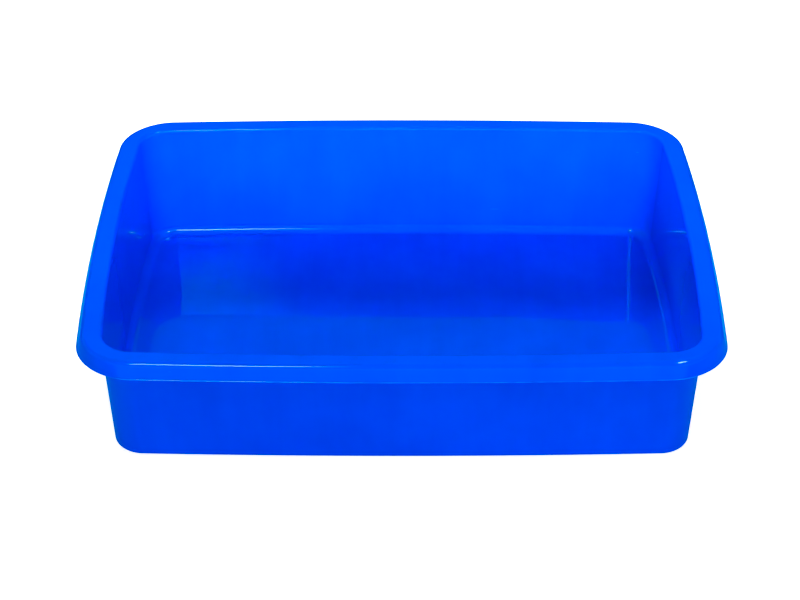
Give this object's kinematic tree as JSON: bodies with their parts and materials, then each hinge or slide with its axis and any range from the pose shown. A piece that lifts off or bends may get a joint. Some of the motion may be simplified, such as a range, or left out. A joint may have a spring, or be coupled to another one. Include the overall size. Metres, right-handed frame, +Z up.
{
  "type": "mud pan",
  "caption": "Rectangular one-piece plastic mud pan: wide shallow mixing tray with rounded corners, drafted bowed walls, flat rim and a flared turned-down skirt.",
  "frame": {"origin": "on the ground plane, midway along and across the pan", "axes": "+X along the pan's length, +Y across its width, +Z up towards the open mouth"},
  "size_m": [0.45, 0.342, 0.0925],
  "materials": {
    "blue_plastic": "glossy as-moulded polypropylene, saturated blue, faint flow waviness on the floor and walls"
  },
  "bodies": {
    "root": {"pan_shell": "blue_plastic"}
  },
  "joints": []
}
